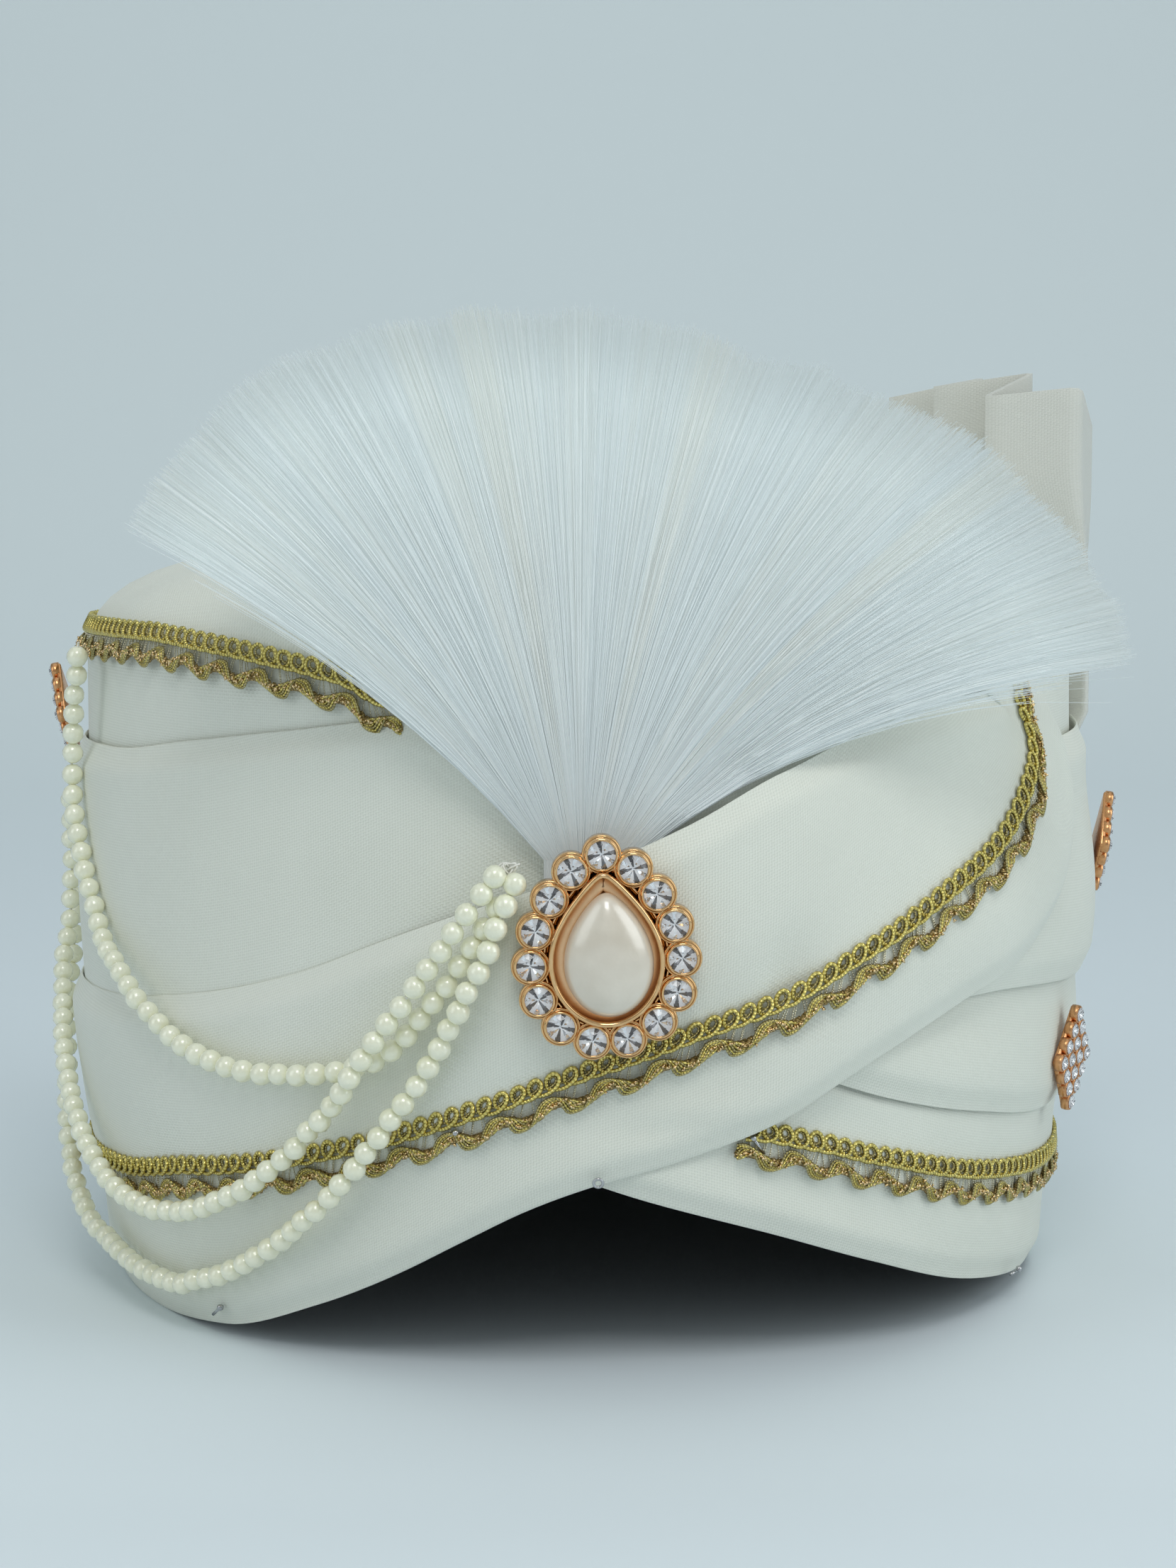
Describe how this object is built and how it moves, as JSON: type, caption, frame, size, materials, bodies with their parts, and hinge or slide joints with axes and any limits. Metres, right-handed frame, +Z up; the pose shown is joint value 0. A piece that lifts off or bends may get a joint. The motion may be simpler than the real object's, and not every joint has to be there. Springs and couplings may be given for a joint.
{
  "type": "wrapped turban with plume and brooch",
  "caption": "Ready-tied ivory cloth turban on a stiff hollow base, with gold lace trim, a white bristle plume, a drop-pearl brooch, hanging pearl strings, stone clips and a pleated side fan.",
  "frame": {"origin": "on the floor under the middle of the whole turban's bounding box", "axes": "+Z up from the rim, +Y to the turban's back, +X to the side with the pleated fan"},
  "size_m": [0.2062, 0.2374, 0.174],
  "materials": {
    "base": "matt dark lining",
    "cloth": "ivory satin-faced weave",
    "lace": "gold metallic braid",
    "plume": "white nylon bristle",
    "pearl": "cream pearl",
    "gilt": "rose-gold plating",
    "drop_pearl": "blush pearl",
    "stone": "clear cut stone",
    "copper": "copper plating with clear stones",
    "steel": "bright pin steel"
  },
  "bodies": {
    "root": {"base_shell": "base", "crown_cover": "cloth", "wrap_main": "cloth", "wrap_middle": "cloth", "wrap_upper": "cloth", "fan_pleats": "cloth", "lace_main": "lace", "lace_crown": "lace", "plume": "plume", "pearl_string_upper": "pearl", "pearl_string_middle": "pearl", "pearl_string_lower": "pearl", "brooch_setting": "gilt", "brooch_pearl": "drop_pearl", "brooch_stone_01": "stone", "brooch_stone_02": "stone", "brooch_stone_03": "stone", "brooch_stone_04": "stone", "brooch_stone_05": "stone", "brooch_stone_06": "stone", "brooch_stone_07": "stone", "brooch_stone_08": "stone", "brooch_stone_09": "stone", "brooch_stone_10": "stone", "brooch_stone_11": "stone", "brooch_stone_12": "stone", "brooch_stone_13": "stone", "brooch_stone_14": "stone", "brooch_stone_15": "stone", "clip_left": "copper", "clip_right_upper": "copper", "clip_right_lower": "copper"}
  },
  "joints": []
}
